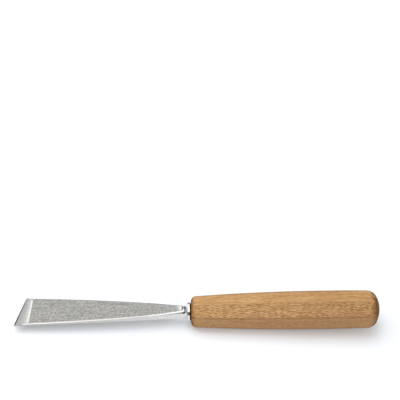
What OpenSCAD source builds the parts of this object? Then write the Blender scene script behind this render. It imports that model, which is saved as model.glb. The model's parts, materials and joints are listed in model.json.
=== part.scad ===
// Skew carving chisel: a forged blade with its bolster and tang in one piece, a steel ring let into
// the end grain of the handle, and an octagonal handle with a domed butt.
// It lies on a bench with the blade's face up, balanced on the front of the handle's lowest flat.
// +X runs from the cutting edge to the butt, +Y from the long toe to the heel, +Z is up.
// Along the tool the pieces are measured from the front end of the handle, ahead of it is -X.

/* [Cutting edge] */
// Width of the blade across its cutting end
blade_width = 26.5; // [16:0.5:40]
// Length from the back of the bolster to the toe
blade_length = 127.7; // [90:0.5:180]
// Angle of the cutting edge from square, in degrees
edge_skew = 18; // [5:1:30]
// Length of the upper bevel along the toe side
bevel_length = 10.9; // [8:0.1:12]
// Angle of the upper bevel from the face, in degrees
bevel_angle = 7; // [4:0.5:8]
// Angle of the line between bevel and face from square, in degrees
bevel_line_skew = 6; // [0:0.5:12]
// Angle of the short lower bevel from the face, in degrees
lower_bevel_angle = 30; // [20:1:45]

/* [Blade] */
// Height of the blade's face above the tool's axis
face_height = 3.2; // [2.8:0.1:3.6]
// Thickness of the blade at the toe
tip_thickness = 2; // [1.8:0.1:3]
// Thickness of the blade at the root
root_thickness = 6.3; // [5.5:0.1:7.2]
// Width of the blade where it leaves the neck
root_width = 8; // [6.5:0.1:9]
// How far the long sides bow out from a straight taper
side_bow = 1.6; // [0:0.1:3]
// How far the face rises into the neck
face_rise = 0.4; // [0:0.1:0.8]
// Length over which the face rises into the neck
rise_length = 24; // [10:1:40]
// Length over which the arrises are rounded off near the neck
rounding_length = 15; // [8:0.5:25]

/* [Neck and bolster] */
// Diameter of the round neck
neck_diameter = 8.8; // [7.5:0.1:10]
// Straight length of the neck
neck_length = 1; // [0.5:0.1:6]
// Diameter of the bolster
bolster_diameter = 14.6; // [13.4:0.1:18]
// Length of the bolster's rim
bolster_rim = 1.9; // [1:0.1:5]

/* [Tang] */
// Length of the tang behind the bolster
tang_length = 80; // [40:1:95]
// Thickness of the square tang at the bolster
tang_root = 6.6; // [4.5:0.1:6.8]
// Thickness of the square tang at its end
tang_tip = 4.4; // [2:0.1:4.6]
// Clearance around the tang in its hole
tang_fit = 0.1; // [0.05:0.05:0.3]
// Free depth of the hole beyond the end of the tang
tang_hole_spare = 2; // [0.5:0.5:6]

/* [Inner ferrule] */
// Outer diameter of the ring
ferrule_diameter = 12.6; // [11.6:0.1:13.2]
// Wall of the ring
ferrule_wall = 1.1; // [0.6:0.1:1.4]
// Length of the ring
ferrule_length = 13; // [6:0.5:25]
// How far the ring stands out of the end grain
ferrule_proud = 0.8; // [0.3:0.1:3]
// Clearance around the ring in its groove
ferrule_fit = 0.05; // [0.02:0.01:0.2]

/* [Handle] */
// Length of the handle
handle_length = 137; // [110:1:180]
// Greatest size across opposite flats
handle_flats = 27.7; // [25:0.1:34]
// Size across opposite flats at the front end, before its edge is rounded
front_flats = 22; // [20.5:0.1:24]
// Distance from the front end to the thickest place
belly_station = 94; // [70:1:105]
// Radius of the rounded front edge
front_round = 3.8; // [1.5:0.1:4]
// Radius of the domed end of the butt
crown_radius = 19; // [17:0.5:30]
// Radius that blends the dome into the flats
butt_round = 7.5; // [4:0.5:9]

/* [Hidden] */
$fn = 96;

steel_colour = "silver";
ring_colour = "dimgray";
wood_colour = "burlywood";

side_steps = 16;
arc_steps = 8;
belly_steps = 14;
spare = 5;

// Stations along the tool, and sizes that follow from the sizes above
neck_radius = neck_diameter / 2;
bolster_radius = bolster_diameter / 2;
bolster_back = -ferrule_proud;
bolster_front = bolster_back - bolster_rim;
cove_radius = bolster_radius - neck_radius;
root_x = bolster_front - cove_radius - neck_length;
toe_x = bolster_back - blade_length;
body_length = root_x - toe_x;
half_tip = blade_width / 2;
half_root = root_width / 2;
cut_size = 2 * (blade_width + bevel_length);

// The two bevels meet in the cutting edge, which runs from the toe at -Y to the heel at +Y
toe_depth = bevel_length * cos(bevel_line_skew) * tan(bevel_angle);
toe_z = face_height - toe_depth;
edge_rise = tan(bevel_angle) * sin(edge_skew - bevel_line_skew);
lower_skew = edge_skew + asin(edge_rise / tan(lower_bevel_angle));

// Half the blade's width, its thickness and the height of its face at a distance ahead of the root
function half_width(s) = let (q = s / body_length)
    half_root + (half_tip - half_root) * q + 4 * side_bow * q * (1 - q);
function thickness(s) =
    tip_thickness + (root_thickness - tip_thickness) * pow(1 - s / body_length, 3);
function face_top(s) = face_height + face_rise * pow(max(1 - s / rise_length, 0), 2);

// Half the handle's size across flats, and the slope of the flat in degrees
half_flats = handle_flats / 2;
belly_drop = (handle_flats - front_flats) / 2;
function half_height(x) = half_flats - belly_drop * pow((x - belly_station) / belly_station, 2);
function flat_slope(x) = atan(2 * belly_drop * (belly_station - x) / pow(belly_station, 2));

// Centres of the front edge's rounding, of the dome and of the arc between the dome and the flat
front_slope = flat_slope(front_round);
front_start = front_round * (1 - sin(front_slope));
front_centre = [front_round, half_height(front_start) - front_round * cos(front_slope)];
crown_x = handle_length - crown_radius;
corner_reach = crown_radius - butt_round;
corner_guess = crown_x + sqrt(pow(corner_reach, 2) - pow(half_flats - butt_round, 2));
corner_slope = flat_slope(corner_guess);
corner_z = half_height(corner_guess) - butt_round * cos(corner_slope);
corner_centre = [crown_x + sqrt(pow(corner_reach, 2) - pow(corner_z, 2)), corner_z];
corner_end = corner_centre[0] - butt_round * sin(corner_slope);
crown_angle = asin(corner_z / corner_reach);

function arc(centre, r, from, to, steps) =
    [for (i = [0 : steps]) let (a = from + (to - from) * i / steps) centre + r * [cos(a), sin(a)]];

// Upper outline of the handle from the front end to the tip of the dome
handle_outline = concat(
    arc(front_centre, front_round, 180, 90 + front_slope, arc_steps),
    [for (i = [1 : belly_steps - 1])
        let (x = front_start + (corner_end - front_start) * i / belly_steps) [x, half_height(x)]],
    arc(corner_centre, butt_round, 90 + corner_slope, crown_angle, arc_steps),
    [for (i = [1 : arc_steps]) let (a = crown_angle * (1 - i / arc_steps))
        [crown_x + crown_radius * cos(a), crown_radius * sin(a)]]
);

// The tool balances on the first stretch of the handle's belly, which leans it forward
rest_front = handle_outline[arc_steps];
rest_back = handle_outline[arc_steps + 1];
lean = atan2(rest_back[1] - rest_front[1], rest_back[0] - rest_front[0]);
bench_z = rest_front[0] * sin(lean) - rest_front[1] * cos(lean);
front_x = toe_x * cos(lean) - toe_z * sin(lean);
back_x = max([for (p = handle_outline) p[0] * cos(lean) + p[1] * sin(lean)]);

// Sets the tool on the bench, with the middle of its length over the origin
module on_bench() {
    translate([-(front_x + back_x) / 2, 0, -bench_z])
        rotate([0, -lean, 0])
            children();
}

// Turns a profile drawn as radius and station round the tool's axis
module turned() {
    rotate([0, 90, 0])
        rotate_extrude()
            children();
}

// Extrudes an outline drawn as station and height, across the tool
module across(width) {
    rotate([90, 0, 0])
        linear_extrude(height = width, center = true)
            children();
}

module blade_plan() {
    steps = [for (i = [0 : side_steps]) (body_length + spare) * i / side_steps];
    polygon(concat(
        [for (s = steps) [root_x - s, half_width(s)]],
        [for (i = [side_steps : -1 : 0]) [root_x - steps[i], -half_width(steps[i])]]
    ));
}

module blade_side() {
    steps = [for (i = [0 : side_steps]) body_length * i / side_steps];
    rise_steps = [for (i = [arc_steps : -1 : 0]) rise_length * i / arc_steps];
    tip = toe_x - spare;
    polygon(concat(
        [[tip, face_height]],
        [for (s = rise_steps) [root_x - s, face_top(s)]],
        [for (s = steps) [root_x - s, face_height - thickness(s)]],
        [[tip, face_height - tip_thickness]]
    ));
}

// Space above the upper bevel
module upper_bevel_cut() {
    translate([toe_x + bevel_length, -half_tip, face_height])
        rotate([0, -bevel_angle, -bevel_line_skew])
            translate([-cut_size, -cut_size, 0])
                cube([cut_size + spare, 2 * cut_size, cut_size]);
}

// Space below the lower bevel
module lower_bevel_cut() {
    translate([toe_x, -half_tip, toe_z])
        rotate([0, lower_bevel_angle, -lower_skew])
            translate([-cut_size, -cut_size, -cut_size])
                cube([2 * cut_size, 2 * cut_size, cut_size]);
}

// Round envelope that takes the arrises off as the blade runs into the neck
module root_envelope() {
    rounded_radius = norm([half_width(rounding_length), face_height]);
    flare = (rounded_radius - neck_radius) / rounding_length;
    cone_length = rounding_length + spare;
    tall = blade_width + 2 * neck_diameter;
    translate([root_x, 0, 0])
        rotate([0, -90, 0])
            cylinder(h = cone_length, r1 = neck_radius, r2 = neck_radius + flare * cone_length);
    translate([root_x - rounding_length - body_length, -tall / 2, -tall / 2])
        cube([body_length, tall, tall]);
}

module blade_body() {
    difference() {
        intersection() {
            translate([0, 0, -blade_width])
                linear_extrude(height = 2 * blade_width)
                    blade_plan();
            across(2 * blade_width)
                blade_side();
            root_envelope();
        }
        upper_bevel_cut();
        lower_bevel_cut();
    }
}

// Neck and bolster, with a cone that runs the neck out into the blade
module neck_and_bolster() {
    neck_front = root_x - neck_radius;
    turned()
        difference() {
            union() {
                translate([0, root_x])
                    square([neck_radius, bolster_back - root_x]);
                translate([0, bolster_front - cove_radius])
                    square([bolster_radius, bolster_back - bolster_front + cove_radius]);
                polygon([[0, neck_front], [face_height / 2, neck_front], [neck_radius, root_x], [0, root_x]]);
            }
            translate([bolster_radius, bolster_front - cove_radius])
                circle(r = cove_radius);
        }
}

// Tapered square tang with its root inside the bolster, or its hole when the clearance and the spare
// depth are added
module tang_shape(clearance, extra) {
    back = bolster_back + tang_length + extra;
    root = tang_root / 2 + clearance;
    tip = tang_tip / 2 + clearance;
    upper = [[bolster_front, root], [bolster_back, root], [back, tip]];
    lower = [[back, -tip], [bolster_back, -root], [bolster_front, -root]];
    intersection_for (turn = [0, 90])
        rotate([turn, 0, 0])
            across(2 * tang_root)
                polygon(concat(upper, lower));
}

module blade() {
    color(steel_colour)
        on_bench()
            union() {
                blade_body();
                neck_and_bolster();
                tang_shape(0, 0);
            }
}

// Ring, or its groove when the clearance is added to both walls
module ring(clearance, front) {
    outer = ferrule_diameter / 2 + clearance;
    inner = ferrule_diameter / 2 - ferrule_wall - clearance;
    back = ferrule_length - ferrule_proud;
    turned()
        translate([inner, front])
            square([outer - inner, back - front]);
}

module inner_ferrule() {
    color(ring_colour)
        on_bench()
            ring(0, -ferrule_proud);
}

module handle_slab() {
    across(2 * handle_flats)
        polygon(concat(
            handle_outline,
            [for (i = [len(handle_outline) - 2 : -1 : 0]) [handle_outline[i][0], -handle_outline[i][1]]]
        ));
}

module handle() {
    color(wood_colour)
        on_bench()
            difference() {
                intersection_for (turn = [0, 45, 90, 135])
                    rotate([turn, 0, 0])
                        handle_slab();
                ring(ferrule_fit, -spare);
                tang_shape(tang_fit, tang_hole_spare);
            }
}

blade();
inner_ferrule();
handle();
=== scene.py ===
"""A skew carving chisel on a white bench: forged blade, ring ferrule and octagonal beech handle.

The pieces are modelled along the tool's own axis, with the front end of the handle at the origin,
the cutting edge towards -X and the blade's face towards +Z, and are then laid on the bench.
"""

import json
import math

import bmesh
import bpy
from mathutils import Matrix, Vector


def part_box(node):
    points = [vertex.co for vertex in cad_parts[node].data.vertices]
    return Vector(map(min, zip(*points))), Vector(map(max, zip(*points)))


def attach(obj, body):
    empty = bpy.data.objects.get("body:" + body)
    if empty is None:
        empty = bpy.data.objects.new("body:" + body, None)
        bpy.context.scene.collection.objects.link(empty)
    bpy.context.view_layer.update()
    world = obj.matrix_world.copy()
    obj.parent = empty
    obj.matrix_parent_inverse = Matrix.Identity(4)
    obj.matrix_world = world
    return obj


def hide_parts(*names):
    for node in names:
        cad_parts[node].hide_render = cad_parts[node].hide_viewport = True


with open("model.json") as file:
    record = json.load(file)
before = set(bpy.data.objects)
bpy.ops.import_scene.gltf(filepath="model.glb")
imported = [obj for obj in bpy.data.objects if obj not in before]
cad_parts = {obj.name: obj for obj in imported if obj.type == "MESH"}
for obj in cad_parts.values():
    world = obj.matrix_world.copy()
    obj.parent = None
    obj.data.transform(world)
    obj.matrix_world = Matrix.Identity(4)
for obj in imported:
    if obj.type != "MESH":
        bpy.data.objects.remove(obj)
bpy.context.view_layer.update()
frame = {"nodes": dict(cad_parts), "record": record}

MM = 0.001

# Cutting edge
BLADE_WIDTH = 26.5 * MM
BLADE_LENGTH = 127.7 * MM
BEVEL_LENGTH = 10.9 * MM
BEVEL_LINE_SKEW = math.radians(6)
EDGE_SKEW = math.radians(18)
LOWER_BEVEL_ANGLE = math.radians(30)
# The upper bevel is rubbed slightly round on the stone: where along it each tilt in degrees starts
BEVEL_TILTS = [(0.0, 2.0), (0.16, 3.2), (0.30, 4.4), (0.47, 5.4), (0.67, 6.4), (0.89, 27.0)]

# Blade, neck, bolster and tang
FACE_HEIGHT = 3.2 * MM
FACE_RISE = 0.4 * MM
RISE_LENGTH = 24 * MM
TIP_THICKNESS = 2 * MM
ROOT_THICKNESS = 6.3 * MM
ROOT_WIDTH = 8 * MM
SIDE_BOW = 1.6 * MM
NECK_RADIUS = 4.4 * MM
NECK_LENGTH = 1 * MM
BOLSTER_RADIUS = 7.3 * MM
BOLSTER_RIM = 1.9 * MM
BOLSTER_FRONT_LIP = 0.4 * MM
BOLSTER_BACK_LIP = 0.15 * MM
TANG_LENGTH = 80 * MM
TANG_ROOT = 6.6 * MM
TANG_TIP = 4.4 * MM
TANG_CORNER = 0.4 * MM
# Keeps the tang's first section clear of the bolster's last
TANG_STEP = 0.02 * MM

# Ring ferrule
FERRULE_RADIUS = 6.3 * MM
FERRULE_LENGTH = 13 * MM
FERRULE_PROUD = 0.8 * MM

# Handle
HANDLE_LENGTH = 137 * MM
HANDLE_FLATS = 27.7 * MM
FRONT_FLATS = 22 * MM
BELLY_STATION = 94 * MM
FRONT_ROUND = 3.8 * MM
CROWN_RADIUS = 19 * MM
BUTT_ROUND = 7.5 * MM
# Where along the handle its size sets that of the butt
BUTT_STATION = 128 * MM
# How much rounder each step over the butt turns
BUTT_ROUNDING = 0.1

# Groove for the ring and round hole for the tang, in the handle's front end
GROOVE_OUTSIDE = FERRULE_RADIUS + 0.05 * MM
GROOVE_INSIDE = FERRULE_RADIUS - 1.15 * MM
GROOVE_DEPTH = FERRULE_LENGTH - FERRULE_PROUD
HOLE_FRONT = 4.75 * MM
HOLE_END = 3.2 * MM
HOLE_DEPTH = TANG_LENGTH + 1 * MM

# Softened edges: across and up along the blade, one size elsewhere
UPPER_ARRIS = (1.75 * MM, 0.55 * MM)
LOWER_ARRIS = (0.3 * MM, 0.25 * MM)
ROOT_CORNER = (2.0 * MM, 1.8 * MM)
BEVEL_ARRIS = 0.42 * MM
RIDGE = 0.3 * MM

# Stations along the tool
BOLSTER_BACK = -FERRULE_PROUD
BOLSTER_FRONT = BOLSTER_BACK - BOLSTER_RIM
COVE = BOLSTER_RADIUS - NECK_RADIUS
COVE_START = BOLSTER_FRONT - COVE
ROOT = COVE_START - NECK_LENGTH
TOE = BOLSTER_BACK - BLADE_LENGTH
BODY_LENGTH = ROOT - TOE
BEVEL_END = TOE + BEVEL_LENGTH
# Behind every part of the skewed bevels
BEVEL_ZONE = TOE + 1.5 * BEVEL_LENGTH
# Where the corners begin to soften towards the neck, how late, and where the section turns round
SOFTENING = -32 * MM
SOFTENING_CURVE = 2.2
BLEND_START = ROOT - 0.2 * MM
# Steel beyond the toe that the bevels cut away
SPARE_STEEL = 4 * MM

# Points round each corner of the blade's section
CORNER_POINTS = 12
# How near points are that count as one place, and that are welded
SAME_PLACE = 1e-7
WELD = 1e-6
# Least part of a face's normal that points the way of its kind, and most lean of the blade's face
ON_BEVEL = 0.9999
SQUARE_ON = 0.99
SIDEWAYS = 0.9
FACE_LEAN = 0.06
# Edges that turn by less than this are shaded smooth
SMOOTH_ANGLE = math.radians(14)


def tool_matrix():
    """Where the tool lies: axis and face from the record's mounts, station from the ring."""
    mounts = {m["name"]: m for m in frame["record"]["mounts"]}
    along = Vector(mounts["grip"]["axis"]).normalized()
    face = Vector(mounts["blade_face"]["axis"]).normalized()
    across = face.cross(along)
    low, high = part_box("inner_ferrule")
    ring_station = FERRULE_LENGTH / 2 - FERRULE_PROUD
    origin = (low + high) / 2 - along * ring_station
    turn = Matrix((along, across, face)).transposed()
    return Matrix.Translation(origin) @ turn.to_4x4()


TOOL = tool_matrix()


# Modelling helpers

def smooth(u):
    """Eases in and out between 0 and 1."""
    u = min(max(u, 0.0), 1.0)
    return u * u * (3 - 2 * u)


def mix(a, b, t):
    return a + (b - a) * t


def steps(start, end, count):
    """Even steps after start, up to end."""
    return [mix(start, end, i / count) for i in range(1, count + 1)]


def new_piece(name, primitive, **size):
    """Adds a primitive with nothing else selected and goes into edit mode on it."""
    if bpy.context.mode != "OBJECT":
        bpy.ops.object.mode_set(mode="OBJECT")
    bpy.ops.object.select_all(action="DESELECT")
    primitive(**size)
    piece = bpy.context.object
    piece.name = name
    piece.data.name = name
    bpy.ops.object.transform_apply(location=True, rotation=True, scale=True)
    bpy.ops.object.mode_set(mode="EDIT")
    return piece


def edit_mesh():
    return bmesh.from_edit_mesh(bpy.context.object.data)


def select(kind, test):
    """Selects the points, edges or faces of the piece in edit mode that pass a test."""
    bpy.ops.mesh.select_mode(type=kind)
    bpy.ops.mesh.select_all(action="DESELECT")
    bm = edit_mesh()
    items = {"VERT": bm.verts, "EDGE": bm.edges, "FACE": bm.faces}[kind]
    for item in items:
        if test(item):
            item.select_set(True)
    bm.select_flush_mode()
    bmesh.update_edit_mesh(bpy.context.object.data)


def extrude_to(x):
    """Extrudes the selected end along the tool to station x."""
    bm = edit_mesh()
    here = next(v.co.x for v in bm.verts if v.select)
    bpy.ops.mesh.extrude_region_move(TRANSFORM_OT_translate={"value": (x - here, 0, 0)})


def lay_on_bench(piece):
    """Leaves edit mode and puts the finished mesh where the tool lies."""
    bpy.ops.object.mode_set(mode="OBJECT")
    piece.matrix_world = TOOL
    bpy.ops.object.transform_apply(location=True, rotation=True, scale=True)


# Blade

def half_width(ahead):
    """Half the blade's width a distance ahead of its root, the sides slightly bowed."""
    q = ahead / BODY_LENGTH
    straight = mix(ROOT_WIDTH / 2, BLADE_WIDTH / 2, q)
    return straight + 4 * SIDE_BOW * q * (1 - q)


def thickness(ahead):
    """The blade's thickness a distance ahead of its root, growing fast close to the root."""
    q = ahead / BODY_LENGTH
    return mix(TIP_THICKNESS, ROOT_THICKNESS, max(1 - q, 0) ** 3)


def blade_section(x):
    """Half width, top, bottom, and upper and lower rounding, across and up, ahead of the cove."""
    ahead = max(ROOT - x, 0)
    softened = min(max((x - SOFTENING) / (ROOT - SOFTENING), 0), 1) ** SOFTENING_CURVE
    into_neck = smooth((x - BLEND_START) / (COVE_START - BLEND_START))
    half = mix(half_width(ahead), NECK_RADIUS, into_neck)
    face_top = FACE_HEIGHT + FACE_RISE * max(1 - ahead / RISE_LENGTH, 0) ** 2
    top = mix(face_top, NECK_RADIUS, into_neck)
    bottom = mix(FACE_HEIGHT - thickness(ahead), -NECK_RADIUS, into_neck)

    def rounding(arris):
        corner = [mix(size, root, softened) for size, root in zip(arris, ROOT_CORNER)]
        return [mix(size, NECK_RADIUS, into_neck) for size in corner]

    return half, top, bottom, rounding(UPPER_ARRIS), rounding(LOWER_ARRIS)


def round_section(radius):
    return radius, radius, -radius, (radius, radius), (radius, radius)


def square_section(half, corner):
    return half, half, -half, (corner, corner), (corner, corner)


def corner_centres(half, top, bottom, upper, lower):
    """Centres of a section's four rounded corners, across and up."""
    high, low = top - upper[1], bottom + lower[1]
    wide, narrow = half - lower[0], half - upper[0]
    return [(narrow, high), (-narrow, high), (-wide, low), (wide, low)]


class Forging:
    """An open ring of points, rounded at four corners, drawn along the tool section by section."""

    def __init__(self, x, section):
        bm = edit_mesh()
        layer = bm.verts.layers.int.new("corner")
        for v in bm.verts:
            quarter = math.atan2(v.co.z, v.co.y) // (math.pi / 2)
            v[layer] = int(quarter) % 4
        bmesh.update_edit_mesh(bpy.context.object.data)
        self.x = x
        self.centres = [(0.0, 0.0)] * 4
        self.roundings = [(NECK_RADIUS, NECK_RADIUS)] * 4
        self.shape(section)

    def pick(self, station, corner=None):
        """Selects the ring of points at a station, or one corner of it."""
        bm = edit_mesh()
        layer = bm.verts.layers.int["corner"]
        bpy.ops.mesh.select_all(action="DESELECT")
        for v in bm.verts:
            if abs(v.co.x - station) < SAME_PLACE and (corner is None or v[layer] == corner):
                v.select_set(True)
        bm.select_flush(True)
        bmesh.update_edit_mesh(bpy.context.object.data)

    def shape(self, section):
        """Scales each corner of the end ring to its rounding and moves it to its centre."""
        centres = corner_centres(*section)
        upper, lower = section[3:]
        roundings = [upper, upper, lower, lower]
        for corner in range(4):
            old, new = self.centres[corner], centres[corner]
            across, up = [b / a for a, b in zip(self.roundings[corner], roundings[corner])]
            self.pick(self.x, corner)
            bpy.ops.transform.resize(value=(1, across, up), center_override=(self.x, *old))
            bpy.ops.transform.translate(value=(0, new[0] - old[0], new[1] - old[1]))
        self.centres, self.roundings = centres, roundings
        self.pick(self.x)

    def draw_to(self, x, section):
        extrude_to(x)
        self.x = x
        self.shape(section)


def blade_stations():
    """Stations from beyond the toe to the cove, closer together where the section changes fast."""
    start = TOE - SPARE_STEEL
    flat = [start] + steps(start, SOFTENING, 16)
    return flat + steps(SOFTENING, BLEND_START, 10) + steps(BLEND_START, COVE_START, 14)


def bolster_stations():
    """Stations and radii from the neck over the cove and the rim to the back of the bolster."""
    stations = []
    for degrees in range(8, 81, 8):
        a = math.radians(degrees)
        stations.append((COVE_START + COVE * math.sin(a), BOLSTER_RADIUS - COVE * math.cos(a)))
    quarter = [math.radians(degrees) for degrees in range(0, 91, 10)]
    for a in quarter:
        x = BOLSTER_FRONT + BOLSTER_FRONT_LIP * (1 - math.cos(a))
        stations.append((x, BOLSTER_RADIUS - BOLSTER_FRONT_LIP * (1 - math.sin(a))))
    for a in quarter:
        x = BOLSTER_BACK - BOLSTER_BACK_LIP * (1 - math.sin(a))
        stations.append((x, BOLSTER_RADIUS - BOLSTER_BACK_LIP * (1 - math.cos(a))))
    return stations


def bevel_planes():
    """Point and outward normal of each flat of the upper bevel, and of the lower one."""
    half = BLADE_WIDTH / 2
    line_skew = BLADE_WIDTH * math.tan(BEVEL_LINE_SKEW)
    heel_length = BEVEL_LENGTH + line_skew - BLADE_WIDTH * math.tan(EDGE_SKEW)
    toe = Vector((BEVEL_END, -half, FACE_HEIGHT))
    heel = toe + Vector((line_skew, BLADE_WIDTH, 0))
    planes = []
    ends = [start for start, tilt in BEVEL_TILTS[1:]] + [1.0]
    for (start, tilt), end in zip(BEVEL_TILTS, ends):
        downhill = Vector((-1, 0, -math.tan(math.radians(tilt))))
        planes.append((toe, (heel - toe).cross(downhill).normalized()))
        toe = toe + downhill * BEVEL_LENGTH * (end - start)
        heel = heel + downhill * heel_length * (end - start)
    back = Vector((math.cos(EDGE_SKEW), -math.sin(EDGE_SKEW), 0))
    under = back - Vector((0, 0, math.tan(LOWER_BEVEL_ANGLE)))
    planes.append((toe, (heel - toe).cross(under).normalized()))
    return planes


BEVEL_PLANES = bevel_planes()


def on_bevel(normal):
    return any(normal.dot(outward) > ON_BEVEL for point, outward in BEVEL_PLANES)


def beside_bevel(edge):
    """Whether an edge lies between a bevel and a side of the blade."""
    normals = [face.normal for face in edge.link_faces]
    by_side = any(abs(n.y) > SIDEWAYS for n in normals)
    return edge.verts[0].co.x < BEVEL_ZONE and by_side and any(on_bevel(n) for n in normals)


def make_blade():
    """Draws a ring of points out from beyond the toe to the tang's tip and cuts the bevels."""
    stations = blade_stations()
    ring_turn = (math.pi / 2, math.pi / (4 * CORNER_POINTS), math.pi / 2)
    piece = new_piece("blade_forging", bpy.ops.mesh.primitive_circle_add,
                      vertices=4 * CORNER_POINTS, radius=NECK_RADIUS,
                      location=(stations[0], 0, 0), rotation=ring_turn)
    bpy.ops.mesh.select_mode(type="VERT")
    forging = Forging(stations[0], blade_section(stations[0]))
    for x in stations[1:]:
        forging.draw_to(x, blade_section(x))
    for x, radius in bolster_stations():
        forging.draw_to(x, round_section(radius))
    forging.draw_to(BOLSTER_BACK + TANG_STEP, square_section(TANG_ROOT / 2, TANG_CORNER))
    forging.draw_to(BOLSTER_BACK + TANG_LENGTH, square_section(TANG_TIP / 2, TANG_CORNER))
    bpy.ops.mesh.edge_face_add()
    forging.pick(stations[0])
    bpy.ops.mesh.edge_face_add()
    for point, outward in BEVEL_PLANES:
        bpy.ops.mesh.select_all(action="SELECT")
        bpy.ops.mesh.bisect(plane_co=point, plane_no=outward, use_fill=True, clear_outer=True,
                            threshold=SAME_PLACE)
    bpy.ops.mesh.select_all(action="SELECT")
    bpy.ops.mesh.remove_doubles(threshold=WELD)
    bpy.ops.mesh.normals_make_consistent(inside=False)
    select("EDGE", beside_bevel)
    bpy.ops.mesh.bevel(offset=BEVEL_ARRIS, segments=4, affect="EDGES", clamp_overlap=False)
    return piece


# Handle

def half_flats(x):
    """Half the handle's size across flats, widest at its belly."""
    drop = (HANDLE_FLATS - FRONT_FLATS) / 2
    return HANDLE_FLATS / 2 - drop * ((x - BELLY_STATION) / BELLY_STATION) ** 2


def butt_corner():
    """Centre of the butt's rounded corner, and where along the crown that corner runs out."""
    corner_z = half_flats(BUTT_STATION) - BUTT_ROUND
    reach = CROWN_RADIUS - BUTT_ROUND
    corner_x = HANDLE_LENGTH - CROWN_RADIUS + math.sqrt(reach ** 2 - corner_z ** 2)
    return corner_x, corner_z, math.asin(corner_z / reach)


def front_outline():
    """Station and half size across flats over the rounded front end, up to the butt's corner."""
    outline = []
    for degrees in range(0, 81, 10):
        a = math.radians(degrees)
        drop = FRONT_ROUND * (1 - math.sin(a))
        outline.append((FRONT_ROUND * (1 - math.cos(a)), half_flats(FRONT_ROUND) - drop))
    corner_x = butt_corner()[0]
    stations = [FRONT_ROUND] + steps(FRONT_ROUND, corner_x, 14)
    return outline + [(x, half_flats(x)) for x in stations]


def butt_outline():
    """Station and half size over the butt's corner and its crown, up to just before its middle."""
    corner_x, corner_z, tangent = butt_corner()
    outline = []
    for a in steps(math.pi / 2, tangent, 12):
        outline.append((corner_x + BUTT_ROUND * math.cos(a), corner_z + BUTT_ROUND * math.sin(a)))
    for a in steps(tangent, 0.0, 12)[:-1]:
        x = HANDLE_LENGTH - CROWN_RADIUS * (1 - math.cos(a))
        outline.append((x, CROWN_RADIUS * math.sin(a)))
    return outline


def end_size():
    """Half the height of the selected end."""
    return max(v.co.z for v in edit_mesh().verts if v.select)


def extrude_end(x, height, rounding=0.0):
    """Extrudes the selected end to a station, turns it rounder and brings it to its half height."""
    extrude_to(x)
    if rounding > 0:
        bpy.ops.transform.tosphere(value=rounding)
    factor = height / end_size()
    bpy.ops.transform.resize(value=(1, factor, factor), center_override=(x, 0, 0))


def bore_front_end():
    """Sinks the ring's groove and the tang's hole into the front end."""
    select("FACE", lambda f: f.normal.x < -SQUARE_ON and f.calc_center_median().x < WELD)
    extrude_end(0, GROOVE_OUTSIDE, rounding=1.0)
    extrude_end(GROOVE_DEPTH, GROOVE_OUTSIDE)
    extrude_end(GROOVE_DEPTH, GROOVE_INSIDE)
    extrude_end(0, GROOVE_INSIDE)
    extrude_end(0, HOLE_FRONT)
    extrude_end(HOLE_DEPTH, HOLE_END)


def make_handle():
    """Extrudes an octagon with softened ridges to a closed butt and bores the front end."""
    front, butt = front_outline(), butt_outline()
    x, height = front[0]
    half_side = math.pi / 8
    piece = new_piece("beech_handle", bpy.ops.mesh.primitive_circle_add, vertices=8,
                      radius=height / math.cos(half_side), fill_type="NGON",
                      location=(x, 0, 0), rotation=(math.pi / 2, half_side, math.pi / 2))
    bpy.ops.mesh.select_all(action="SELECT")
    bpy.ops.mesh.bevel(offset=RIDGE, segments=5, affect="VERTICES")
    bpy.ops.mesh.select_mode(type="FACE")
    bpy.ops.mesh.select_all(action="SELECT")
    for x, height in front[1:]:
        extrude_end(x, height)
    for x, height in butt:
        extrude_end(x, height, rounding=BUTT_ROUNDING)
    extrude_to(HANDLE_LENGTH)
    bpy.ops.mesh.merge(type="CENTER")
    bpy.ops.mesh.select_all(action="SELECT")
    bpy.ops.mesh.normals_make_consistent(inside=False)
    bore_front_end()
    bpy.ops.mesh.select_all(action="SELECT")
    bpy.ops.mesh.normals_make_consistent(inside=False)
    return piece


# Shader helpers

def plug(tree, socket, value):
    """Wires a socket to another node's output, or sets its value."""
    if isinstance(value, bpy.types.NodeSocket):
        tree.links.new(value, socket)
    else:
        socket.default_value = value


def add(tree, kind, sockets=None, **settings):
    node = tree.nodes.new(kind)
    for name, value in settings.items():
        setattr(node, name, value)
    for name, value in (sockets or {}).items():
        plug(tree, node.inputs[name], value)
    return node


def math_node(tree, operation, *values):
    node = add(tree, "ShaderNodeMath", operation=operation)
    for socket, value in zip(node.inputs, values):
        plug(tree, socket, value)
    return node.outputs[0]


def split(tree, vector):
    """The X, Y and Z of a vector."""
    return add(tree, "ShaderNodeSeparateXYZ", {"Vector": vector}).outputs


def rescale(tree, value, low, high, start=0.0, end=1.0):
    """Takes a value between start and end to one between low and high, held at both ends."""
    node = add(tree, "ShaderNodeMapRange", {
        "Value": value, "From Min": start, "From Max": end, "To Min": low, "To Max": high})
    return node.outputs["Result"]


def stretched(tree, vector, stretch):
    """A position drawn out in each direction."""
    node = add(tree, "ShaderNodeVectorMath", {0: vector, 1: stretch}, operation="MULTIPLY")
    return node.outputs[0]


def noise(tree, vector, stretch, detail=2.0, roughness=0.5):
    """Noise whose features are 1/stretch metres long in each direction."""
    node = add(tree, "ShaderNodeTexNoise", {
        "Vector": stretched(tree, vector, stretch), "Scale": 1.0,
        "Detail": detail, "Roughness": roughness})
    return node.outputs["Fac"]


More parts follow.
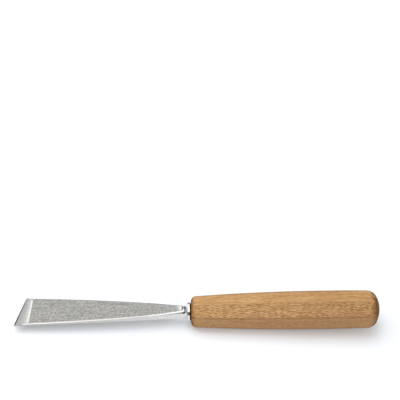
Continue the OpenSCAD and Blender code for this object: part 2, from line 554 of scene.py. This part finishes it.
def ramp(tree, value, stops):
    """Colours, or greys where a stop is one number, along a value."""
    node = add(tree, "ShaderNodeValToRGB", {"Fac": value})
    elements = node.color_ramp.elements
    while len(elements) < len(stops):
        elements.new(0.5)
    for element, (position, colour) in zip(elements, stops):
        element.position = position
        element.color = (*colour, 1) if isinstance(colour, tuple) else (colour, colour, colour, 1)
    return node.outputs["Color"]


def blend(tree, factor, base, tint):
    """A base colour that turns into a plain tint as the factor goes from 0 to 1."""
    node = add(tree, "ShaderNodeMix", data_type="RGBA")
    inputs = {socket.identifier: socket for socket in node.inputs}
    plug(tree, inputs["Factor_Float"], factor)
    plug(tree, inputs["A_Color"], base)
    plug(tree, inputs["B_Color"], (*tint, 1))
    return next(socket for socket in node.outputs if socket.identifier == "Result_Color")


def new_material(name):
    material = bpy.data.materials.new(name)
    material.use_nodes = True
    return material, material.node_tree, material.node_tree.nodes["Principled BSDF"]


def along_tool(tree, turn=0.0):
    """Position on the tool in metres, along it, across it and up, turned about its axis."""
    place = TOOL @ Matrix.Rotation(turn, 4, "X")
    where = add(tree, "ShaderNodeTexCoord")
    mapping = add(tree, "ShaderNodeMapping", {
        "Vector": where.outputs["Object"],
        "Location": place.translation,
        "Rotation": place.to_euler()}, vector_type="TEXTURE")
    return mapping.outputs["Vector"]


def facing(tree, direction):
    """How squarely the surface faces a direction, either way: 1 square on, 0 edge on."""
    normal = add(tree, "ShaderNodeNewGeometry").outputs["Normal"]
    dot = add(tree, "ShaderNodeVectorMath", {0: normal, 1: direction}, operation="DOT_PRODUCT")
    return math_node(tree, "ABSOLUTE", dot.outputs["Value"])


# Steel finishes

# Where the grinding of the face runs out into polish, sooner on the heel's side
GRINDING_FADES = ROOT - 4.5 * MM
GRINDING_ENDS = ROOT - 1.2 * MM
GRINDING_SLANT = 0.35
POLISHED_TINT = (0.73, 0.73, 0.725)
POLISHED_ROUGHNESS = 0.16
# How far ahead of the root a side is at its dullest, and the tint that it dulls towards
DULLED_LENGTH = 110 * MM
DULLED_TINT = (0.3, 0.287, 0.277)


def steel_texture_group():
    """Mottle and lengthwise strokes of worked steel, used by every steel finish."""
    group = bpy.data.node_groups.new("worked_steel", "ShaderNodeTree")
    sockets = group.interface
    sockets.new_socket("Vector", in_out="INPUT", socket_type="NodeSocketVector")
    sockets.new_socket("Mottle", in_out="INPUT", socket_type="NodeSocketFloat")
    sockets.new_socket("Strokes", in_out="INPUT", socket_type="NodeSocketFloat")
    sockets.new_socket("Tone", in_out="OUTPUT", socket_type="NodeSocketFloat")
    source = group.nodes.new("NodeGroupInput")
    sink = group.nodes.new("NodeGroupOutput")
    vector = source.outputs["Vector"]
    mottle = noise(group, vector, (900, 1100, 1100), detail=3.0, roughness=0.6)
    mottle = math_node(group, "SUBTRACT", mottle, 0.5)
    mottle = math_node(group, "MULTIPLY", mottle, source.outputs["Mottle"])
    strokes = noise(group, vector, (45, 1500, 1500))
    strokes = math_node(group, "SUBTRACT", strokes, 0.5)
    strokes = math_node(group, "MULTIPLY", strokes, source.outputs["Strokes"])
    tone = math_node(group, "ADD", math_node(group, "ADD", mottle, strokes), 0.5)
    plug(group, sink.inputs["Tone"], tone)
    return group


WORKED_STEEL = steel_texture_group()


def steel(name, mottle, strokes, dark, light, smooth_end, rough_end, relief,
          dulled=0.0, runs_out=False):
    """A steel finish whose colour, roughness and relief follow its mottle and strokes.

    It may get duller away from the neck, or run out into polish at the neck.
    """
    material, tree, shader = new_material(name)
    vector = along_tool(tree)
    worked = add(tree, "ShaderNodeGroup", {
        "Vector": vector, "Mottle": mottle, "Strokes": strokes}, node_tree=WORKED_STEEL)
    tone = worked.outputs["Tone"]
    height = tone
    colour = ramp(tree, tone, [(0.2, dark), (0.8, light)])
    roughness = rescale(tree, tone, rough_end, smooth_end)
    if dulled > 0:
        x = split(tree, vector)["X"]
        away = rescale(tree, x, 0.0, dulled, start=ROOT, end=ROOT - DULLED_LENGTH)
        colour = blend(tree, away, colour, DULLED_TINT)
    if runs_out:
        x, across = split(tree, vector)[:2]
        slanted = math_node(tree, "MULTIPLY_ADD", across, GRINDING_SLANT, x)
        polish = rescale(tree, slanted, 0.0, 1.0, start=GRINDING_FADES, end=GRINDING_ENDS)
        colour = blend(tree, polish, colour, POLISHED_TINT)
        roughness = rescale(tree, polish, roughness, POLISHED_ROUGHNESS)
        height = math_node(tree, "MULTIPLY", tone, math_node(tree, "SUBTRACT", 1.0, polish))
    bump = add(tree, "ShaderNodeBump", {"Height": height, "Distance": relief, "Strength": 1.0})
    plug(tree, shader.inputs["Base Color"], colour)
    plug(tree, shader.inputs["Roughness"], roughness)
    plug(tree, shader.inputs["Normal"], bump.outputs["Normal"])
    shader.inputs["Metallic"].default_value = 1.0
    return material


BLADE_FINISHES = {
    "face": dict(
        name="ground_steel", mottle=2.2, strokes=1.0,
        dark=(0.46, 0.455, 0.43), light=(0.83, 0.82, 0.78),
        smooth_end=0.36, rough_end=0.5, relief=0.02 * MM, runs_out=True),
    # A guessed dark finish, chosen so the underside throws little light onto the bench and the
    # shadow under the blade is deeper
    "underside": dict(
        name="darkened_underside_steel", mottle=2.2, strokes=1.0,
        dark=(0.16, 0.158, 0.15), light=(0.36, 0.355, 0.34),
        smooth_end=0.4, rough_end=0.55, relief=0.03 * MM),
    "bevel": dict(
        name="honed_steel", mottle=0.25, strokes=0.5,
        dark=(0.72, 0.72, 0.71), light=(0.92, 0.92, 0.90),
        smooth_end=0.10, rough_end=0.18, relief=0.001 * MM),
    "side": dict(
        name="rubbed_steel", mottle=0.5, strokes=0.5,
        dark=(0.595, 0.577, 0.553), light=(0.825, 0.80, 0.77),
        smooth_end=0.16, rough_end=0.28, relief=0.002 * MM, dulled=0.6),
    "bevel arris": dict(
        name="dressed_steel", mottle=0.3, strokes=0.4,
        dark=(0.76, 0.75, 0.74), light=(0.96, 0.95, 0.93),
        smooth_end=0.25, rough_end=0.33, relief=0.001 * MM),
    "arris": dict(
        name="eased_steel", mottle=0.4, strokes=0.4,
        dark=(0.56, 0.545, 0.53), light=(0.76, 0.74, 0.72),
        smooth_end=0.26, rough_end=0.36, relief=0.001 * MM),
    "polish": dict(
        name="polished_steel", mottle=0.4, strokes=0.4,
        dark=(0.62, 0.62, 0.615), light=(0.84, 0.84, 0.83),
        smooth_end=0.12, rough_end=0.22, relief=0.001 * MM),
}
# Nearly black: blackened steel that also stands in for the shade in the gap between bolster and
# handle
RING_FINISH_AND_SHADE = dict(
    name="blackened_steel_and_gap_shade", mottle=1.0, strokes=0.4,
    dark=(0.006, 0.004, 0.003), light=(0.055, 0.04, 0.032),
    smooth_end=0.35, rough_end=0.55, relief=0.01 * MM)


def blade_finish(face):
    """Names the finish of a face of the blade."""
    x = face.calc_center_median().x
    if x < BEVEL_ZONE and on_bevel(face.normal):
        return "bevel"
    if x < ROOT and abs(face.normal.z) > SQUARE_ON and abs(face.normal.y) < FACE_LEAN:
        return "face" if face.normal.z > 0 else "underside"
    if x < ROOT and abs(face.normal.y) > SQUARE_ON:
        return "side"
    if x < BEVEL_END:
        return "bevel arris"
    return "arris" if x < SOFTENING else "polish"


# Beech finish

# How the board was turned about the handle's axis, and its rings: their number to the metre, and
# how they wander, bow across the board and slope along it
BOARD_TURN = math.pi / 4
RINGS_PER_METRE = 380.0
RING_WANDER = 7 * MM
RING_BOW = 6.0
RING_SLOPE = 0.03
WOOD_TONES = [
    (0.32, (0.50, 0.255, 0.097)), (0.5, (0.61, 0.35, 0.145)), (0.68, (0.70, 0.44, 0.195))]
# Pinker and darker towards the board's lower side: a pink tone, with painted shade on the lower
# flats
PINK_AND_SHADE_TINT = (0.52, 0.245, 0.125)
PINK_AND_SHADE_DEPTH = 0.5
PINK_AND_SHADE_EDGE = -9 * MM
# Where along the handle the painted shade that darkens it towards the butt begins and is full
BUTT_SHADE_START = 10 * MM
BUTT_SHADE_FULL = 110 * MM
BUTT_SHADE_TINT = (0.36, 0.175, 0.06)
PALE_RAY_TINT = (0.82, 0.57, 0.30)
DARK_RAY_TINT = (0.26, 0.115, 0.04)
# Grime with painted shade along the ridges of the octagon
RIDGE_GRIME_AND_SHADE_TINT = (0.26, 0.12, 0.05)
# How deep the grime and painted shade along the ridges are, from one edge of the board to the
# other, deepest at its two outer ridges
RIDGE_GRIME_AND_SHADE_DEPTH = [
    (0.05, 0.7), (0.15, 0.38), (0.36, 0.38), (0.57, 0.08), (0.85, 0.08), (0.95, 0.6)]
# End grain darkened by oil and deepened with painted shade, darkest where the ends face along the
# handle
END_GRAIN_OIL_AND_SHADE_TINT = (0.16, 0.048, 0.002)
END_GRAIN_OIL_AND_SHADE_DEPTH = [(0.48, 0.0), (0.6, 0.42), (0.85, 0.8), (0.97, 1.0)]
WOOD_RELIEF = 0.025 * MM
WOOD_SHINE = 0.18


def dashes(tree, vector, stretch, thinnest, thickest):
    """Short strokes along the grain, each of its own strength: 1 in a stroke, 0 between them."""
    cells = add(tree, "ShaderNodeTexVoronoi", {
        "Vector": stretched(tree, vector, stretch), "Scale": 1.0}, voronoi_dimensions="2D")
    stroke = ramp(tree, cells.outputs["Distance"], [(thinnest, 1.0), (thickest, 0.0)])
    strength = add(tree, "ShaderNodeSeparateColor", {"Color": cells.outputs["Color"]})
    return math_node(tree, "MULTIPLY", stroke, rescale(tree, strength.outputs["Red"], 0.3, 1.0))


def growth_rings(tree, vector, x, across, depth):
    """Tone of the growth rings: pale early wood that ends in a thin dark line."""
    wander = noise(tree, vector, (12, 60, 60), detail=3.0)
    wander = math_node(tree, "MULTIPLY", wander, RING_WANDER)
    bow = math_node(tree, "MULTIPLY", math_node(tree, "MULTIPLY", across, across), RING_BOW)
    layer = math_node(tree, "ADD", math_node(tree, "ADD", depth, wander), bow)
    layer = math_node(tree, "ADD", layer, math_node(tree, "MULTIPLY", x, RING_SLOPE))
    ring = math_node(tree, "FRACT", math_node(tree, "MULTIPLY", layer, RINGS_PER_METRE))
    return ramp(tree, ring, [(0.0, 0.62), (0.72, 0.5), (0.9, 0.1), (1.0, 0.62)])


def ridge_grime_and_shade(tree, across, depth):
    """Grime and painted shade along the ridges of the octagon, darkest at the board's outer ridges.
    """
    round_axis = math_node(tree, "ARCTAN2", across, depth)
    flats = math_node(tree, "MULTIPLY_ADD", round_axis, 4 / math.pi, 0.5)
    from_ridge = math_node(tree, "PINGPONG", flats, 0.5)
    along_ridge = ramp(tree, from_ridge, [(0.03, 1.0), (0.09, 0.0)])
    half = HANDLE_FLATS / 2
    over_board = rescale(tree, across, 0.0, 1.0, start=-half, end=half)
    return math_node(tree, "MULTIPLY", along_ridge, ramp(tree, over_board, RIDGE_GRIME_AND_SHADE_DEPTH))


def end_grain_oil_and_shade(tree, vector, lengthwise):
    """How dark the end grain is: oil soaked into it, with painted shade, darkest where the ends
    face along the handle.
    """
    patches = noise(tree, vector, (150, 300, 300))
    soaked = math_node(tree, "MULTIPLY_ADD", patches, 1.1, -0.5)
    end_grain = math_node(tree, "ADD", facing(tree, lengthwise), soaked)
    pores = noise(tree, vector, (900, 1500, 1500), detail=1.0)
    return math_node(tree, "MULTIPLY", ramp(tree, end_grain, END_GRAIN_OIL_AND_SHADE_DEPTH),
                     rescale(tree, pores, 0.6, 1.0))


def beech():
    """Oiled beech: growth rings, ray flecks, grime and painted shade on the ridges, painted shade
    low down and towards the butt, and end grain darkened by oil and painted shade.
    """
    material, tree, shader = new_material("oiled_beech")
    vector = along_tool(tree, BOARD_TURN)
    x, across, depth = split(tree, vector)
    board = TOOL.to_3x3() @ Matrix.Rotation(BOARD_TURN, 3, "X")
    flat_sawn = math_node(tree, "POWER", facing(tree, board @ Vector((0, 0, 1))), 4.0)

    # Growth rings, tone patches and fibres
    rings = math_node(tree, "MULTIPLY", growth_rings(tree, vector, x, across, depth), 0.3)
    patches = noise(tree, vector, (14, 170, 170))
    patches = math_node(tree, "MULTIPLY_ADD", patches, 0.3, 0.2)
    fibres = noise(tree, vector, (90, 1650, 1650))
    fibre_tone = math_node(tree, "MULTIPLY", math_node(tree, "SUBTRACT", fibres, 0.5),
                           math_node(tree, "MULTIPLY_ADD", flat_sawn, 1.0, 0.95))
    tone = math_node(tree, "ADD", math_node(tree, "ADD", rings, patches), fibre_tone)
    wood = ramp(tree, tone, WOOD_TONES)

    # Pinker, with painted shade, towards the board's lower side, and painted shade darkening it
    # towards the butt
    pink_and_shade = rescale(tree, across, 0.0, PINK_AND_SHADE_DEPTH, start=0.0, end=PINK_AND_SHADE_EDGE)
    wood = blend(tree, pink_and_shade, wood, PINK_AND_SHADE_TINT)
    # Painted shade: darker towards the butt, most on the flat-sawn flats
    butt_shade = rescale(tree, x, 0.0, 1.0, start=BUTT_SHADE_START, end=BUTT_SHADE_FULL)
    butt_shade = math_node(tree, "MULTIPLY", butt_shade,
                        math_node(tree, "MULTIPLY_ADD", flat_sawn, 0.33, 0.10))
    wood = blend(tree, butt_shade, wood, BUTT_SHADE_TINT)

    # Rays cut across show as short dark and pale flecks
    pale_rays = dashes(tree, vector, (215, 1400, 0), 0.22, 0.4)
    pale_rays = math_node(tree, "MULTIPLY", pale_rays,
                          math_node(tree, "MULTIPLY_ADD", flat_sawn, 0.44, 0.12))
    wood = blend(tree, pale_rays, wood, PALE_RAY_TINT)
    dark_rays = dashes(tree, vector, (240, 1350, 0), 0.24, 0.4)
    dark_rays = math_node(tree, "MULTIPLY", dark_rays,
                          math_node(tree, "MULTIPLY_ADD", flat_sawn, 0.8, 0.1))
    wood = blend(tree, dark_rays, wood, DARK_RAY_TINT)

    # Grime and painted shade along the ridges, and end grain darkened by oil and by painted shade
    wood = blend(tree, ridge_grime_and_shade(tree, across, depth), wood, RIDGE_GRIME_AND_SHADE_TINT)
    end_oil_and_shade = end_grain_oil_and_shade(tree, vector, board @ Vector((1, 0, 0)))
    wood = blend(tree, end_oil_and_shade, wood, END_GRAIN_OIL_AND_SHADE_TINT)

    relief = math_node(tree, "SUBTRACT", fibres, dark_rays)
    bump = add(tree, "ShaderNodeBump", {
        "Height": relief, "Distance": WOOD_RELIEF, "Strength": 1.0})
    dullness = rescale(tree, tone, 0.62, 0.48)
    dullness = math_node(tree, "MULTIPLY_ADD", end_oil_and_shade, 0.4, dullness)
    plug(tree, shader.inputs["Base Color"], wood)
    plug(tree, shader.inputs["Roughness"], dullness)
    plug(tree, shader.inputs["Normal"], bump.outputs["Normal"])
    shader.inputs["Specular IOR Level"].default_value = WOOD_SHINE
    return material


# Finishing and fitting the pieces

def finish_faces(piece, materials, pick):
    """Gives each face of the piece in edit mode the material that pick names for it."""
    for name, material in materials.items():
        piece.data.materials.append(material)
        piece.active_material_index = len(piece.data.materials) - 1
        select("FACE", lambda f: pick(f) == name)
        bpy.ops.object.material_slot_assign()


def flatten_shading(piece):
    """Smooth shading over the rounded edges with the broad flats kept flat."""
    bpy.ops.object.shade_smooth_by_angle(angle=SMOOTH_ANGLE)
    weighted = piece.modifiers.new("flats", "WEIGHTED_NORMAL")
    weighted.keep_sharp = True
    bpy.ops.object.modifier_apply(modifier=weighted.name)


blade = make_blade()
blade_steels = {part: steel(**finish) for part, finish in BLADE_FINISHES.items()}
finish_faces(blade, blade_steels, blade_finish)
lay_on_bench(blade)
flatten_shading(blade)
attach(blade, "root")
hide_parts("blade")

handle = make_handle()
finish_faces(handle, {"wood": beech()}, lambda face: "wood")
lay_on_bench(handle)
flatten_shading(handle)
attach(handle, "root")
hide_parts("handle")

ring = frame["nodes"]["inner_ferrule"]
ring.data.materials.clear()
ring.data.materials.append(steel(**RING_FINISH_AND_SHADE))

# Bench

BENCH_SIZE = 6
BENCH_TINT = (0.765, 0.8, 0.84, 1)
BENCH_GLOW = 0.25


def bench_white():
    """White paper: lit as it lies, with enough glow of its own to show white around the shadow."""
    material, tree, shader = new_material("bench_white")
    rays = add(tree, "ShaderNodeLightPath").outputs
    seen = math_node(tree, "MAXIMUM", rays["Is Camera Ray"], rays["Is Glossy Ray"])
    seen = math_node(tree, "MAXIMUM", seen, rays["Is Transmission Ray"])
    shader.inputs["Base Color"].default_value = BENCH_TINT
    shader.inputs["Roughness"].default_value = 1.0
    shader.inputs["Specular IOR Level"].default_value = 0.0
    shader.inputs["Emission Color"].default_value = (1, 1, 1, 1)
    plug(tree, shader.inputs["Emission Strength"], math_node(tree, "MULTIPLY", seen, BENCH_GLOW))
    return material


bpy.ops.object.select_all(action="DESELECT")
bpy.ops.mesh.primitive_plane_add(size=BENCH_SIZE, location=(0, 0, 0))
bench = bpy.context.object
bench.name = "bench"
bench.data.materials.append(bench_white())

# Camera: almost face-on to the handle's near upper flat, a little nearer to the blade's face

FRAME_PIXELS = 400
# Size of a pixel at the tool, and where in the picture the front end of the handle is
PIXEL = 0.727 * MM
HANDLE_FRONT_PIXEL = (191.0, 311.75)
LOOK_DOWN = math.radians(46.5)
AXIS_TILT = math.radians(0.89)
# A long lens, in millimetres as cameras count
LENS = 250
SENSOR = 36


def place_camera():
    """Looks down across the tool from where it falls on its place in the picture."""
    tool_turn = TOOL.to_3x3()
    look = tool_turn @ Vector((0, math.cos(LOOK_DOWN), -math.sin(LOOK_DOWN)))
    flat_up = tool_turn @ Vector((0, math.sin(LOOK_DOWN), math.cos(LOOK_DOWN)))
    along = tool_turn @ Vector((1, 0, 0))
    right = along * math.cos(AXIS_TILT) - flat_up * math.sin(AXIS_TILT)
    up = along * math.sin(AXIS_TILT) + flat_up * math.cos(AXIS_TILT)
    distance = FRAME_PIXELS * PIXEL * LENS / SENSOR
    aim_right = (FRAME_PIXELS / 2 - HANDLE_FRONT_PIXEL[0]) * PIXEL
    aim_up = (HANDLE_FRONT_PIXEL[1] - FRAME_PIXELS / 2) * PIXEL
    tilt = math.atan(aim_up / distance)
    forward = (look * math.cos(tilt) + up * math.sin(tilt)).normalized()
    turn = Matrix((right, right.cross(forward), -forward)).transposed().to_4x4()
    lens = bpy.data.cameras.new("camera")
    lens.lens = LENS
    lens.sensor_width = SENSOR
    camera = bpy.data.objects.new("camera", lens)
    place = TOOL.translation + right * aim_right - look * distance / math.cos(tilt)
    camera.matrix_world = Matrix.Translation(place) @ turn
    bpy.context.collection.objects.link(camera)
    bpy.context.scene.camera = camera


place_camera()

# Light

# How bright the studio is, from the horizon behind the tool over the top to the one in front
STUDIO_ARC = [
    (0.00, 0.08), (0.12, 0.2), (0.19, 0.52), (0.285, 0.52), (0.31, 0.2), (0.34, 0.2),
    (0.365, 1.12), (0.73, 1.12), (0.78, 0.08), (0.95, 0.08), (1.00, 0.3)]
# How strong that is, from left to right
STUDIO_SIDES = [
    (0.00, 0.6), (0.05, 0.5), (0.09, 0.42), (0.2, 0.42), (0.25, 0.15), (0.31, 0.5),
    (0.397, 1.3), (0.412, 1.6), (0.4263, 2.0), (0.441, 2.6), (0.455, 3.3), (0.463, 3.3),
    (0.471, 1.0), (0.62, 1.0), (0.75, 0.6), (1.0, 0.4)]
# How far up the white backdrop beyond the bench shows in the steel
BACKDROP_TOP = math.sin(math.radians(4.5))


def light_studio():
    """A long soft light overhead, grey behind it and dark in front, with white beyond the bench."""
    world = bpy.data.worlds.new("studio")
    bpy.context.scene.world = world
    world.use_nodes = True
    tree = world.node_tree
    x, y, z = split(tree, add(tree, "ShaderNodeTexCoord").outputs["Generated"])
    arc = math_node(tree, "DIVIDE", math_node(tree, "ARCTAN2", z, y), math.pi)
    side = math_node(tree, "MULTIPLY_ADD", x, 0.5, 0.5)
    studio = add(tree, "ShaderNodeBackground", {
        "Color": ramp(tree, arc, STUDIO_ARC), "Strength": ramp(tree, side, STUDIO_SIDES)})
    white = add(tree, "ShaderNodeBackground", {"Color": (1, 1, 1, 1), "Strength": 1.0})
    rays = add(tree, "ShaderNodeLightPath").outputs
    mirrored = math_node(tree, "MAXIMUM", rays["Is Glossy Ray"], rays["Is Transmission Ray"])
    beyond_bench = math_node(tree, "LESS_THAN", z, BACKDROP_TOP)
    mirrored = math_node(tree, "MULTIPLY", mirrored, beyond_bench)
    seen = math_node(tree, "MAXIMUM", rays["Is Camera Ray"], mirrored)
    surface = add(tree, "ShaderNodeMixShader", {
        0: seen, 1: studio.outputs[0], 2: white.outputs[0]})
    plug(tree, tree.nodes["World Output"].inputs["Surface"], surface.outputs[0])


def add_lamp(name, energy, source, spread):
    """A broad lamp that shines from the direction of its source and isn't mirrored."""
    lamp = bpy.data.lights.new(name, "SUN")
    lamp.energy = energy
    lamp.angle = math.radians(spread)
    lamp_object = bpy.data.objects.new(name, lamp)
    lamp_object.rotation_euler = Vector(source).to_track_quat("Z", "Y").to_euler()
    lamp_object.visible_glossy = False
    bpy.context.collection.objects.link(lamp_object)


add_lamp("key", energy=0.98, source=(-0.45, 0.15, 1.0), spread=50)
add_lamp("fill", energy=0.52, source=(-0.1, -0.7, 0.7), spread=60)
light_studio()
bpy.context.scene.view_settings.view_transform = "Standard"
